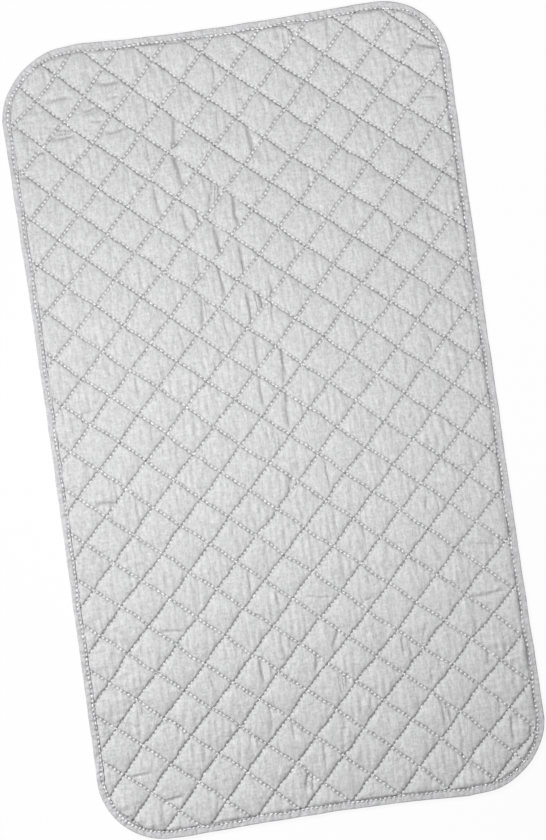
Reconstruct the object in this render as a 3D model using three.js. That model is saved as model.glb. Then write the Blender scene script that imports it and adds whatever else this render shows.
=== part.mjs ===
// Quilted ironing pad: a face cloth, batting and a backing cloth, sewn together in diamonds
// and bound round the edge with a folded tape. Millimetres, Z up: X runs across the pad,
// Y along it, and the pad lies on the plane Z = 0.
import * as THREE from "three";

// The finished pad.
const PAD_LENGTH = 850;
const PAD_WIDTH = 480;
const PAD_THICKNESS = 6;
const CORNER_RADIUS = 70;
const CORNER_STEPS = 7;

// Cloth, wadding and thread, and the air between layers that lie against each other.
const CLOTH_THICKNESS = 0.4;
const BATTING_PRESSED = 0.4;
const THREAD_DIAMETER = 0.3;
const THREAD_SIDES = 6;
const LAYER_GAP = 0.2;

// The binding tape: how far it reaches over the pad, and its seam, which sinks into both legs.
const TAPE_THICKNESS = 0.8;
const TAPE_REACH = 9;
const TAPE_FOLD_STEPS = 4;
const TAPE_SEAM_INSET = 7;
const TAPE_SEAM_DENT = 0.45;
const TAPE_SEAM_WIDTH = 0.6;
const TAPE_SEAM_GAP = 0.1;
const RAW_EDGE_GAP = 1.2;

// Inside the tape the backing steps down to lie on the table.
const STEP_CLEARANCE = 1;
const STEP_RUN = 2;

// The quilting: two families of parallel seams, each with its direction in degrees from X
// and the offset of one of its seams from the middle of the pad.
const SEAM_PITCH = 36;
const SEAM_A_ANGLE = 45.25;
const SEAM_A_OFFSET = 11;
const SEAM_B_ANGLE = -42.25;
const SEAM_B_OFFSET = -4.5;
const SHORTEST_SEAM = 50;
const SMALLEST_PUFF = 0.12;

// Heights of the layers at the seams, from the table up.
const BACKING_EDGE = TAPE_THICKNESS + LAYER_GAP;
const BATTING_EDGE = BACKING_EDGE + CLOTH_THICKNESS + LAYER_GAP;
const FACE_BASE = BATTING_EDGE + BATTING_PRESSED + LAYER_GAP;
const FACE_TOP = FACE_BASE + CLOTH_THICKNESS;
const THREAD_A_BASE = FACE_TOP + LAYER_GAP;
const THREAD_B_BASE = THREAD_A_BASE + THREAD_DIAMETER + LAYER_GAP;
const TAPE_CEILING = THREAD_B_BASE + THREAD_DIAMETER + LAYER_GAP;
const TAPE_TOP = TAPE_CEILING + TAPE_THICKNESS;
const CROWN = PAD_THICKNESS - FACE_TOP;

// How far in from the outline the raw edges of the layers and the backing's step lie.
const RAW_EDGE = TAPE_THICKNESS + RAW_EDGE_GAP;
const STEP_START = TAPE_REACH + STEP_CLEARANCE;
const STEP_END = STEP_START + STEP_RUN;

// The pad's outline drawn in by an inset, anticlockwise, with as many points for every inset.
function outline(inset) {
  const radius = CORNER_RADIUS - inset;
  const points = [];
  for (let quarter = 0; quarter < 4; quarter++) {
    const right = quarter === 0 || quarter === 3 ? 1 : -1;
    const far = quarter < 2 ? 1 : -1;
    const x = right * (PAD_WIDTH / 2 - CORNER_RADIUS);
    const y = far * (PAD_LENGTH / 2 - CORNER_RADIUS);
    for (let step = 0; step <= CORNER_STEPS; step++) {
      const angle = ((quarter + step / CORNER_STEPS) * Math.PI) / 2;
      points.push(new THREE.Vector2(x + radius * Math.cos(angle), y + radius * Math.sin(angle)));
    }
  }
  return points;
}

// The same outline as a loop in space.
function ring(inset, height) {
  return outline(inset).map(({ x, y }) => new THREE.Vector3(x, y, height));
}

// A closed surface, gathered face by face with its corners shared.
class Skin {
  constructor() {
    this.corners = [];
    this.faces = [];
    this.known = new Map();
  }

  corner({ x, y, z }) {
    const key = [x, y, z].map((value) => value.toFixed(3)).join(" ");
    if (!this.known.has(key)) {
      this.known.set(key, this.corners.length);
      this.corners.push(new THREE.Vector3(x, y, z));
    }
    return this.known.get(key);
  }

  triangle(a, b, c) {
    const [i, j, k] = [a, b, c].map((point) => this.corner(point));
    if (i !== j && j !== k && k !== i) this.faces.push(i, j, k);
  }

  // Bands of faces between loops in turn, facing out where the loops climb round the outside.
  band(loops) {
    loops.slice(1).forEach((upper, row) => {
      const lower = loops[row];
      lower.forEach((from, i) => {
        const next = (i + 1) % lower.length;
        this.triangle(from, lower[next], upper[next]);
        this.triangle(from, upper[next], upper[i]);
      });
    });
    return this;
  }

  // A flat convex end over a loop.
  cap(loop, facesUp) {
    for (let i = 2; i < loop.length; i++) {
      if (facesUp) this.triangle(loop[0], loop[i - 1], loop[i]);
      else this.triangle(loop[0], loop[i], loop[i - 1]);
    }
    return this;
  }

  // The quilted surface with its seams at one height.
  quilt(plan, height, facesUp) {
    const at = plan.points.map(({ x, y, rise }) => new THREE.Vector3(x, y, height + rise * CROWN));
    for (const [a, b, c] of plan.faces) {
      if (facesUp) this.triangle(at[a], at[b], at[c]);
      else this.triangle(at[a], at[c], at[b]);
    }
    return this;
  }

  geometry() {
    const geometry = new THREE.BufferGeometry().setFromPoints(this.corners);
    geometry.setIndex(this.faces);
    geometry.computeVertexNormals();
    return geometry;
  }
}

// One family of seams: the direction of its lines and the offsets at which they are sewn.
function seamFamily(degrees, offset) {
  const angle = THREE.MathUtils.degToRad(degrees);
  const along = new THREE.Vector2(Math.cos(angle), Math.sin(angle));
  const across = new THREE.Vector2(-along.y, along.x);
  const reach = Math.ceil((PAD_LENGTH + PAD_WIDTH) / SEAM_PITCH);
  const family = { angle, along, across, offsets: [] };
  for (let count = -reach; count <= reach; count++) {
    const at = offset + count * SEAM_PITCH;
    const [from, to] = chord(family, at, TAPE_REACH);
    if (to - from >= SHORTEST_SEAM) family.offsets.push(at);
  }
  return family;
}

// Where a seam enters and leaves the outline drawn in by an inset, as distances along the seam.
function chord(family, offset, inset) {
  const edge = outline(inset);
  const hits = [];
  edge.forEach((from, i) => {
    const to = edge[(i + 1) % edge.length];
    const before = family.across.dot(from) - offset;
    const after = family.across.dot(to) - offset;
    if (before < 0 !== after < 0) {
      const point = from.clone().lerp(to, before / (before - after));
      hits.push(family.along.dot(point));
    }
  });
  return hits.length === 2 ? hits.sort((a, b) => a - b) : [0, 0];
}

// The point that lies at one offset of each family.
function crossing(a, b, offsetA, offsetB) {
  const turn = a.across.cross(b.across);
  const x = (offsetA * b.across.y - offsetB * a.across.y) / turn;
  const y = (offsetB * a.across.x - offsetA * b.across.x) / turn;
  return new THREE.Vector2(x, y);
}

// The part of a convex polygon that lies inside a convex outline.
function clip(polygon, edge) {
  return edge.reduce((kept, from, i) => {
    const way = edge[(i + 1) % edge.length].clone().sub(from);
    const inside = kept.map((point) => way.cross(point.clone().sub(from)));
    return kept.flatMap((point, k) => {
      const next = (k + 1) % kept.length;
      const cut = inside[k] / (inside[k] - inside[next]);
      const crosses = inside[k] * inside[next] < 0;
      const found = inside[k] >= 0 ? [point] : [];
      return crosses ? [...found, point.clone().lerp(kept[next], cut)] : found;
    });
  }, polygon);
}

// The plan of the quilted surface: diamonds that rise to a crown inside the tape, and a flat
// margin from there to the raw edge. Each point holds its place and its share of the crown.
function quiltPlan(a, b) {
  const points = [];
  const faces = [];
  const known = new Map();
  const add = ({ x, y }, rise = 0) => {
    const key = x.toFixed(2) + " " + y.toFixed(2);
    if (!known.has(key)) {
      known.set(key, points.length);
      points.push({ x, y, rise });
    }
    return known.get(key);
  };

  const far = PAD_LENGTH + PAD_WIDTH;
  const linesA = [-far, ...a.offsets, far];
  const linesB = [-far, ...b.offsets, far];
  const edge = outline(TAPE_REACH);
  const sides = new Map();
  for (let i = 1; i < linesA.length; i++) {
    for (let j = 1; j < linesB.length; j++) {
      const ends = [[i, j], [i, j - 1], [i - 1, j - 1], [i - 1, j]];
      const diamond = ends.map(([k, l]) => crossing(a, b, linesA[k], linesB[l]));
      if (THREE.ShapeUtils.isClockWise(diamond)) diamond.reverse();
      const cell = clip(diamond, edge);
      const loop = cell.map((point) => add(point)).filter((id, k, ids) => id !== ids.at(k - 1));
      if (loop.length < 3) continue;
      loop.forEach((id, k) => sides.set(id + " " + loop[(k + 1) % loop.length], id));
      faces.push(...puff(cell, loop, add));
    }
  }

  const rim = [...sides.keys()].filter((side) => !sides.has(side.split(" ").reverse().join(" ")));
  const onward = new Map(rim.map((side) => side.split(" ").map(Number)));
  const inner = [sides.get(rim[0])];
  while (inner.length < rim.length) inner.push(onward.get(inner.at(-1)));
  const outer = outline(RAW_EDGE).map((point) => add(point));
  const ids = [...outer, ...inner];
  const [margin, hole] = [outer, inner].map((loop) => loop.map((id) => new THREE.Vector2().copy(points[id])));
  for (const face of THREE.ShapeUtils.triangulateShape(margin, [hole])) faces.push(face.map((k) => ids[k]));
  return { points, faces };
}

// The faces of one cell of the quilting: puffed up about its middle, or flat where it is a scrap.
function puff(cell, loop, add) {
  const share = THREE.ShapeUtils.area(cell) / SEAM_PITCH ** 2;
  if (share < SMALLEST_PUFF) return loop.slice(2).map((id, k) => [loop[0], loop[k + 1], id]);
  const middle = cell.reduce((sum, point) => sum.add(point), new THREE.Vector2());
  const top = add(middle.divideScalar(cell.length), Math.min(1, Math.sqrt(share)));
  return loop.map((id, k) => [top, id, loop[(k + 1) % loop.length]]);
}

// The face cloth: one even thickness that follows the diamonds.
function faceCloth(plan) {
  const skin = new Skin();
  skin.quilt(plan, FACE_BASE, false);
  skin.band([ring(RAW_EDGE, FACE_BASE), ring(RAW_EDGE, FACE_TOP)]);
  return skin.quilt(plan, FACE_TOP, true).geometry();
}

// The batting: it fills the diamonds and thins to the raw edge, over the backing's step.
function batting(plan) {
  const skin = new Skin();
  const floor = ring(STEP_END, CLOTH_THICKNESS + LAYER_GAP);
  const top = BATTING_EDGE + BATTING_PRESSED;
  const shoulder = [ring(STEP_START, BATTING_EDGE), ring(RAW_EDGE, BATTING_EDGE)];
  skin.cap(floor, false).band([floor, ...shoulder, ring(RAW_EDGE, top)]);
  return skin.quilt(plan, top, true).geometry();
}

// The backing cloth: flat on the table, and stepped up at its margin to pass over the tape.
function backingCloth() {
  const skin = new Skin();
  const top = BACKING_EDGE + CLOTH_THICKNESS;
  const under = [ring(STEP_END, 0), ring(STEP_START, BACKING_EDGE), ring(RAW_EDGE, BACKING_EDGE)];
  const over = [ring(RAW_EDGE, top), ring(STEP_START, top), ring(STEP_END, CLOTH_THICKNESS)];
  skin.cap(under[0], false).band([...under, ...over]);
  return skin.cap(over.at(-1), true).geometry();
}

// The binding: a tape folded round the raw edge, with a dent under each row of its stitches.
function edgeBinding() {
  const middle = TAPE_TOP / 2;
  const fold = (radius, from, to) =>
    Array.from({ length: TAPE_FOLD_STEPS + 1 }, (unused, step) => {
      const angle = from + ((to - from) * step) / TAPE_FOLD_STEPS;
      return [middle - radius * Math.cos(angle), middle + radius * Math.sin(angle)];
    });
  const foot = TAPE_SEAM_WIDTH / 2;
  const mouth = foot + TAPE_SEAM_DENT;
  const dent = [[mouth, 0], [foot, TAPE_SEAM_DENT], [-foot, TAPE_SEAM_DENT], [-mouth, 0]];
  const lower = dent.map(([run, depth]) => [TAPE_SEAM_INSET + run, depth]);
  const upper = dent.map(([run, depth]) => [TAPE_SEAM_INSET - run, TAPE_TOP - depth]);
  const section = [
    [TAPE_REACH, 0],
    ...lower,
    ...fold(middle, -Math.PI / 2, Math.PI / 2),
    ...upper,
    [TAPE_REACH, TAPE_TOP],
    [TAPE_REACH, TAPE_CEILING],
    ...fold(middle - TAPE_THICKNESS, Math.PI / 2, -Math.PI / 2),
    [TAPE_REACH, TAPE_THICKNESS],
  ];
  return roundTheEdge(section);
}

// A thread of the binding's seam, laid in its dent.
function bindingThread(height) {
  const radius = THREAD_DIAMETER / 2;
  const section = Array.from({ length: THREAD_SIDES }, (unused, side) => {
    const angle = (2 * Math.PI * side) / THREAD_SIDES;
    return [TAPE_SEAM_INSET - radius * Math.cos(angle), height + radius * Math.sin(angle)];
  });
  return roundTheEdge(section);
}

// A section of insets and heights, swept round the outline of the pad.
function roundTheEdge(section) {
  const loops = section.map(([inset, height]) => ring(inset, height));
  return new Skin().band([...loops, loops[0]]).geometry();
}

// The needle thread of one seam, lying in its channel with both ends caught under the tape.
function quiltingThread(family, offset, base) {
  const [from, to] = chord(family, offset, RAW_EDGE);
  const radius = THREAD_DIAMETER / 2;
  const geometry = new THREE.CylinderGeometry(radius, radius, to - from, THREAD_SIDES);
  geometry.rotateZ(family.angle - Math.PI / 2);
  const middle = family.across.clone().multiplyScalar(offset);
  middle.addScaledVector(family.along, (from + to) / 2);
  return geometry.translate(middle.x, middle.y, base + radius);
}

function material(color, roughness) {
  return new THREE.MeshStandardMaterial({ color, roughness, metalness: 0 });
}

function ironingPad() {
  const pad = new THREE.Group();
  pad.name = "ironing_pad";
  const place = (name, geometry, look) => {
    const mesh = new THREE.Mesh(geometry, look);
    mesh.name = name;
    pad.add(mesh);
  };
  const cloth = material(0xc9cacc, 0.6);
  const lining = material(0xd8d8d6, 0.85);
  const wadding = material(0xf0f0ee, 0.95);
  const tape = material(0xbfc0c3, 0.65);
  const thread = material(0xe4e5e6, 0.5);

  const a = seamFamily(SEAM_A_ANGLE, SEAM_A_OFFSET);
  const b = seamFamily(SEAM_B_ANGLE, SEAM_B_OFFSET);
  const plan = quiltPlan(a, b);
  place("face_cloth", faceCloth(plan), cloth);
  place("batting", batting(plan), wadding);
  place("backing_cloth", backingCloth(), lining);
  place("edge_binding", edgeBinding(), tape);

  const seat = TAPE_SEAM_DENT - TAPE_SEAM_GAP - THREAD_DIAMETER / 2;
  place("binding_needle_thread", bindingThread(TAPE_TOP - seat), thread);
  place("binding_bobbin_thread", bindingThread(seat), thread);

  const number = (index) => String(index + 1).padStart(2, "0");
  a.offsets.forEach((offset, i) => {
    place("quilting_thread_a_" + number(i), quiltingThread(a, offset, THREAD_A_BASE), thread);
  });
  b.offsets.forEach((offset, i) => {
    place("quilting_thread_b_" + number(i), quiltingThread(b, offset, THREAD_B_BASE), thread);
  });
  return pad;
}

export default ironingPad();
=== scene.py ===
# Dresses the solid model of a quilted ironing pad in cloth that is simulated between its seams.
# Adds the binding tape folded round the edge, rows of stitches, and the stage that the pad lies on.

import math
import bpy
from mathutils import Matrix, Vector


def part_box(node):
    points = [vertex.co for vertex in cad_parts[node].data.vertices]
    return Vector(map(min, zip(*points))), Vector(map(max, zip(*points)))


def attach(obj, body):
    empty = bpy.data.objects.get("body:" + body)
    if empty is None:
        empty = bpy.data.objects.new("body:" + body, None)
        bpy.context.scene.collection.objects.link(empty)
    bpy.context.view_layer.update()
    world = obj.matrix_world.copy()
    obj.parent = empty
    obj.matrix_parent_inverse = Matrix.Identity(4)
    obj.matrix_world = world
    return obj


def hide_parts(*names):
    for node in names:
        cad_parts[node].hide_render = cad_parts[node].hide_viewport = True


bl_info = {
    "name": "Quilted ironing pad",
    "version": (1, 0, 0),
    "blender": (4, 5, 0),
    "location": "3D View > Sidebar > Ironing pad",
    "description": "Builds a quilted, tape-bound ironing pad over its solid model",
    "category": "Object",
}

import bmesh
import bpy
import numpy as np
from bpy.props import FloatProperty, FloatVectorProperty, IntProperty, PointerProperty
from mathutils import Vector

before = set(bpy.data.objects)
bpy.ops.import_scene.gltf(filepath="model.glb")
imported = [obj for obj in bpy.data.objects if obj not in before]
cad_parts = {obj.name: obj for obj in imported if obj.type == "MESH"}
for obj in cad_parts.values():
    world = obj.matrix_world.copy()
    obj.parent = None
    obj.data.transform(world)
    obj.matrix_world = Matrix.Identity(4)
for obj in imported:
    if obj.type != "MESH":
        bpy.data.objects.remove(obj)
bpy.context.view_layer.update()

TAPE_LOW, TAPE_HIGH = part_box("edge_binding")
THREAD_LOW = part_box("quilting_thread_a_12")[0]
TAPE_THREAD_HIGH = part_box("binding_needle_thread")[1]
THREAD_GAP = 0.0002
MILLIMETRE = 0.001
FLOOR_LEVEL = -0.0003
FLOOR_HALF = 12.0
TAPE_STATION = 0.0013

# Width of the thread in a stitch and how far the stitch bows, for each row
FACE_STITCH = (0.0018, 0.0010)
BOBBIN_STITCH = (0.0006, -0.0005)
TAPE_TOP_STITCH = (0.0020, 0.0009)
TAPE_UNDER_STITCH = (0.0010, -0.0003)
UNDER_THREAD = 0.0003


def length(name, description, default, **limits):
    """A size in metres."""
    return FloatProperty(
        name=name, description=description, default=default, unit="LENGTH", precision=4, **limits
    )


def share(name, description, default):
    """A plain number from nothing to one."""
    return FloatProperty(name=name, description=description, default=default, min=0, max=1, precision=3)


def lamp_place(name, description, default):
    return FloatVectorProperty(name=name, description=description, default=default, subtype="TRANSLATION")


def colour(name, description, default):
    return FloatVectorProperty(
        name=name, description=description, default=default, subtype="COLOR", min=0, max=1
    )


class PadSizes(bpy.types.PropertyGroup):
    """Sizes of the finished pad, some of them read from the solid model."""

    width: length("Width", "Across the pad", TAPE_HIGH.x - TAPE_LOW.x)
    length: length("Length", "Along the pad", TAPE_HIGH.y - TAPE_LOW.y)
    corner_radius: length("Corner radius", "Radius of the outline's corners", 0.070)
    tape_height: length("Tape height", "Thickness of the bound edge", TAPE_HIGH.z - TAPE_LOW.z)
    tape_reach: length("Tape reach", "How far the binding covers the face", 0.0080)
    tape_thickness: length("Tape thickness", "Thickness of one leg of the binding", 0.0008)
    tape_seam: length(
        "Tape seam", "How far the binding's stitches lie from the outline", TAPE_HIGH.x - TAPE_THREAD_HIGH.x
    )
    raw_edge: length("Raw edge", "How far the cut cloth lies inside the outline", 0.004)
    seam_level: length("Seam level", "Height of the face at its seams", THREAD_LOW.z - THREAD_GAP)
    crown: length("Crown", "Height of the diamonds over the seams", 0.0042)
    core_level: length("Core level", "Height at which face and backing meet", 0.0017)
    backing_seam: length("Backing seam", "Height of the backing at its seams", 0.0010)


class Quilting(bpy.types.PropertyGroup):
    """The two families of seams and the cloth between them."""

    pitch: length("Pitch", "Distance between neighbouring seams", 0.036)
    angle_a: FloatProperty(name="Angle A", default=math.radians(45.25), subtype="ANGLE")
    angle_b: FloatProperty(name="Angle B", default=math.radians(-42.25), subtype="ANGLE")
    offset_a: length("Offset A", "How far a seam of family A lies from the middle", 0.011)
    offset_b: length("Offset B", "How far a seam of family B lies from the middle", -0.0045)
    shortest: length("Shortest seam", "Seams that would show less than this are left out", 0.050)
    stitch: length("Stitch length", "Distance between needle holes", 0.0049)
    groove: length("Groove", "Distance over which the cloth rises from a seam", 0.0010)
    swell: length("Swell", "Distance over which a diamond swells to its middle", 0.007)
    swell_share: share("Swell share", "How much of the crown is swell", 0.58)
    tape_groove: length("Tape groove", "Distance over which the cloth rises beside the tape", 0.0014)
    steps: IntProperty(name="Steps", description="Mesh steps across a diamond", default=22, min=4)
    squeeze: share("Squeeze", "How much closer the mesh lies at the seams", 0.42)


class Cotton(bpy.types.PropertyGroup):
    """How the slack cloth settles between its seams."""

    slack_across: share("Slack across", "Spare cloth between seams, across the pad", 0.04)
    slack_along: share("Slack along", "Spare cloth between seams, along the pad", 0.012)
    wrinkle: length("Wrinkle", "Height of the wrinkles in the slack cloth", 0.0005)
    crease: length("Crease", "Half width of a crease", 0.0018)
    crease_reach: length("Crease reach", "How far a crease disturbs the cloth on its low side", 0.0063)
    crease_lead: length("Crease lead", "How far a crease disturbs the cloth on its high side", 0.004)
    fold: length("Fold", "Depth of the soft fold down the deepest diamond", 0.0015)
    gather: length("Gather", "Height of the ripples gathered along the sides", 0.0003)
    fold_width: length("Fold width", "Half width of that fold's dark side", 0.0008)
    stiffness: FloatProperty(name="Stiffness", description="How little the cloth stretches", default=20)
    bending: FloatProperty(
        name="Bending", description="How little the cloth bends", default=0.005, precision=4
    )
    hold: share("Hold", "How firmly the batting keeps the cloth in shape", 0.36)
    pressure: FloatProperty(name="Pressure", description="How hard the batting pushes", default=0.15)
    frames: IntProperty(name="Frames", description="Frames that the cloth settles for", default=14, min=2)
    seed: IntProperty(name="Seed", description="Chooses how the cloth falls", default=7)


class Lay(bpy.types.PropertyGroup):
    """How the soft pad lies, a little out of true."""

    skew: FloatProperty(name="Skew", description="How far the corners lean", default=0.0053, precision=4)
    side_bow: length("Side bow", "How far the long sides draw in", 0.0014)
    end_bow: length("End bow", "How far the ends draw in", 0.0060)
    take_up: FloatProperty(
        name="Take-up", description="How much the sewing shortens the quilted cloth", default=0.007
    )
    corner_pull: length("Corner pull", "How far two opposite corners draw out", 0.007)
    corner_draw: length("Corner draw", "How far the rounds of the corners draw in", 0.0049)
    draw_across: length("Draw across", "How far from a long side the draw of a corner starts", 0.090)
    draw_along: length("Draw along", "How far from an end the draw of a corner starts", 0.075)
    wander: length("Wander", "How far the seams stray", 0.0005)
    wander_length: length("Wander length", "Over what distance the seams stray", 0.13)


class Finish(bpy.types.PropertyGroup):
    """Colours of the cloth, thread and tape, and how light the painted shade at needle holes leaves the
    cloth.
    """

    face: colour("Face cloth", "Silver-grey cotton", (0.62, 0.62, 0.625))
    backing: colour("Backing cloth", "Pale grey cotton", (0.60, 0.60, 0.59))
    tape: colour("Binding tape", "Silver-grey tape", (0.58, 0.58, 0.59))
    thread: colour("Thread", "Light grey polyester", (0.92, 0.92, 0.93))
    # How light the cloth stays under the painted shade at needle holes and seam flanks
    hole: share("Needle hole", "How light the cloth stays at a needle hole", 0.66)


class Stage(bpy.types.PropertyGroup):
    """The camera and the light."""

    lens: FloatProperty(name="Lens", description="Focal length in millimetres", default=240)
    field: length("Field", "Length of floor that fills the picture's height", 0.8962)
    turn: FloatProperty(name="Turn", default=math.radians(-8.335), subtype="ANGLE")
    aside: length("Aside", "How far the camera hangs beside the pad's middle", -0.0005)
    far_key: lamp_place(
        "Far lamp", "Lamp beyond the far end, which lights the near end", (-1.602, 1.990, 2.560)
    )
    far_aim: lamp_place("Far lamp's aim", "Where the far lamp points", (0.003, -2.060, 0))
    far_power: FloatProperty(name="Far lamp's power", description="Watts", default=680)
    near_key: lamp_place(
        "Near lamp", "Lamp beyond the near end, which lights the far end", (-1.138, -1.375, 3.385)
    )
    near_aim: lamp_place("Near lamp's aim", "Where the near lamp points", (0.477, 1.629, 0))
    near_power: FloatProperty(name="Near lamp's power", description="Watts", default=648)
    beam: FloatProperty(
        name="Beam", description="Width of each beam", default=math.radians(51), subtype="ANGLE"
    )
    lamp_size: length("Lamp size", "Radius of each lamp", 0.10)
    fill: share("Fill", "Light from all round", 0.34)


SETTINGS = {
    "pad": PadSizes,
    "quilting": Quilting,
    "cotton": Cotton,
    "lay": Lay,
    "finish": Finish,
    "stage": Stage,
}

# Folds left in the cloth: x and y of the first end and of the last end, and the depth, in millimetres.
# The cloth drops on the left-hand side of the way from the first end to the last.
CREASES = (
    # Lengthwise, from rolling the pad up
    (-62, 341, -67, 303, 2.0), (-67, 300, -61, 261, 2.1), (-34, 266, -37, 236, 1.6),
    (-25, 262, -26, 240, 1.1), (-94, 320, -93, 290, 0.8), (-93, 270, -91, 234, 1.1),
    (-118, 291, -118, 268, 0.6), (-12, 248, -9, 212, 1.7), (-36, 220, -33, 184, 1.8),
    (-36, 174, -34, 138, 1.4), (-10, 196, -8, 160, 1.5), (14, 321, 19, 283, 1.8),
    (-51, 236, -50, 217, 1.0), (-66, 238, -63, 212, 1.3), (-75, 251, -76, 224, 0.5),
    (-58, 190, -57, 160, 1.2), (-62, 178, -61, 150, 0.6), (-61, 146, -60, 110, 1.0),
    (-53, 140, -51, 122, 0.6), (-37, 118, -36, 94, 0.5), (-10, 148, -9, 102, 1.6),
    (-10, 98, -8, 59, 1.5), (3, 144, 5, 119, 1.2), (15, 160, 13, 94, 1.0),
    (15, 80, 18, 38, 1.6), (17, 31, 15, -13, 1.5), (-9, 51, -11, 16, 1.0),
    (0, -11, 0, -37, 0.7), (9, -57, 6, -83, 1.1), (46, -46, 48, -83, 0.7),
    (-89, 367, -87, 338, 0.9), (-13, 393, -15, 357, 0.9), (10, 370, 14, 340, 0.8),
    (-38, 376, -40, 354, 0.5), (-15, 340, -16, 314, 0.6), (68, 414, 66, 388, 0.9),
    (76, 412, 77, 396, 0.9), (114, 417, 114, 396, 1.1), (62, 366, 63, 346, 0.7),
    (103, 336, 103, 321, 0.9), (74, 263, 73, 244, 0.6), (48, 196, 47, 170, 0.5),
    (98, 96, 99, 71, 0.7), (150, 96, 150, 74, 0.6), (148, 46, 148, 24, 0.8),
    (175, 66, 176, 44, 0.7), (152, 196, 153, 179, 0.6), (182, 119, 184, 104, 0.6),
    (-141, 71, -139, 44, 0.9), (-143, 111, -142, 91, 0.5), (-85, 111, -84, 91, 0.5),
    (-57, 76, -55, 59, 0.5), (48, -99, 48, -126, 0.5), (102, -60, 104, -77, 0.8),
    (147, -3, 147, -20, 0.6), (150, -104, 148, -121, 0.9), (177, -50, 176, -76, 0.5),
    (152, -159, 153, -176, 0.6), (77, -129, 78, -156, 0.5), (76, -177, 76, -197, 0.5),
    (36, -228, 28, -253, 1.1), (10, -257, 9, -277, 1.0), (31, -279, 31, -306, 1.0),
    (37, -283, 38, -299, 1.0), (103, -249, 102, -271, 1.0), (109, -254, 112, -276, 0.8),
    (127, -289, 130, -306, 0.8), (127, -239, 128, -256, 0.5), (192, -274, 191, -297, 1.2),
    (28, -324, 28, -346, 0.9), (195, -327, 192, -346, 0.8), (133, -324, 135, -351, 0.9),
    (142, -329, 141, -351, 0.8), (206, -344, 206, -376, 1.2), (225, -349, 225, -371, 1.0),
    (203, -379, 205, -396, 1.0), (75, -324, 77, -346, 0.6), (4, -349, 3, -379, 0.9),
    (-116, -54, -113, -76, 0.5), (-50, -159, -52, -179, 0.8), (-23, -184, -23, -201, 0.6),
    (-60, -104, -59, -119, 0.6), (-9, -8, -10, -21, 0.7), (-51, -250, -49, -281, 1.1),
    (-48, -299, -48, -336, 0.9), (-42, -297, -42, -316, 0.7), (-27, -324, -26, -346, 0.8),
    (-106, -259, -105, -277, 0.8), (-183, -279, -182, -301, 0.7), (-148, -309, -147, -327, 0.7),
    (-19, -379, -19, -402, 1.2), (-13, -379, -14, -401, 0.9),
    # Crosswise, where the cloth is gathered along the sides
    (-196, 370, -164, 372, 1.4), (-136, 382, -111, 382, 1.3), (-128, 368, -112, 368, 0.9),
    (-156, 358, -138, 359, 0.9), (-191, 330, -164, 331, 1.2), (-186, 338, -168, 339, 0.9),
    (-136, 331, -111, 334, 1.2), (-151, 345, -134, 346, 0.9), (-214, 316, -199, 317, 1.2),
    (-232, 291, -214, 289, 1.1), (-232, 342, -221, 342, 0.7), (-216, 361, -204, 365, 0.8),
    (205, 371, 232, 364, 1.4), (204, 315, 223, 313, 0.7), (-209, 195, -194, 195, 0.6),
    (-191, 191, -174, 193, 0.6), (-204, 36, -186, 34, 1.2), (-179, -61, -202, -61, 1.7),
    (-199, -117, -214, -115, 0.7), (-205, -106, -222, -104, 0.6), (219, -165, 179, -161, 1.1),
    (206, -112, 183, -110, 0.8), (205, -117, 185, -116, 0.6), (204, -106, 186, -105, 0.6),
    (184, -143, 167, -142, 0.7), (204, -78, 189, -78, 0.7), (223, -212, 179, -218, 1.2),
    (37, -196, 4, -195, 0.7), (226, -85, 209, -80, 0.8), (-124, -208, -151, -207, 0.9),
    (-149, -384, -173, -383, 1.0), (-179, -352, -206, -354, 0.8), (81, -204, 67, -206, 0.7),
)


def settings(name):
    return getattr(bpy.context.scene, "ironing_" + name)


# Outline and lattice


def outline_depth(x, y):
    """How far inside the pad's outline points lie."""
    pad = settings("pad")
    past_x = np.abs(x) - (pad.width / 2 - pad.corner_radius)
    past_y = np.abs(y) - (pad.length / 2 - pad.corner_radius)
    outside = np.hypot(np.maximum(past_x, 0), np.maximum(past_y, 0))
    return pad.corner_radius - outside - np.minimum(np.maximum(past_x, past_y), 0)


def outline_stations(spacing):
    """Even stations round the outline: places, outward directions and distances walked."""
    pad = settings("pad")
    radius = pad.corner_radius
    half_x, half_y = pad.width / 2 - radius, pad.length / 2 - radius
    sides = np.array([2 * half_y, 2 * half_x, 2 * half_y, 2 * half_x])
    corners = np.array([[half_x, half_y], [-half_x, half_y], [-half_x, -half_y], [half_x, -half_y]])
    runs = sides + radius * math.pi / 2
    starts = np.concatenate([[0], np.cumsum(runs)[:-1]])
    count = round(runs.sum() / spacing)
    walked = np.arange(count) * runs.sum() / count
    quarter = np.searchsorted(starts, walked, side="right") - 1
    past_side = walked - starts[quarter] - sides[quarter]
    square = quarter * math.pi / 2
    angle = square + np.clip(past_side / radius, 0, math.pi / 2)
    outward = np.stack([np.cos(angle), np.sin(angle)], -1)
    along_side = np.stack([-np.sin(square), np.cos(square)], -1)
    place = corners[quarter] + radius * outward + np.minimum(past_side, 0)[:, None] * along_side
    return place, outward, walked


def ripple(x, y, wavelength, seed, count=9):
    """Smooth seeded noise of about unit size, made of plane waves."""
    shortest, spread = 0.7, 0.8
    total = np.zeros_like(x)
    for turn, phase, stretch in np.random.default_rng(seed).random((count, 3)):
        direction = 2 * math.pi * turn
        distance = x * math.cos(direction) + y * math.sin(direction)
        total += np.sin(2 * math.pi * (distance / (wavelength * (shortest + spread * stretch)) + phase))
    return total / math.sqrt(count / 2)


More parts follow.
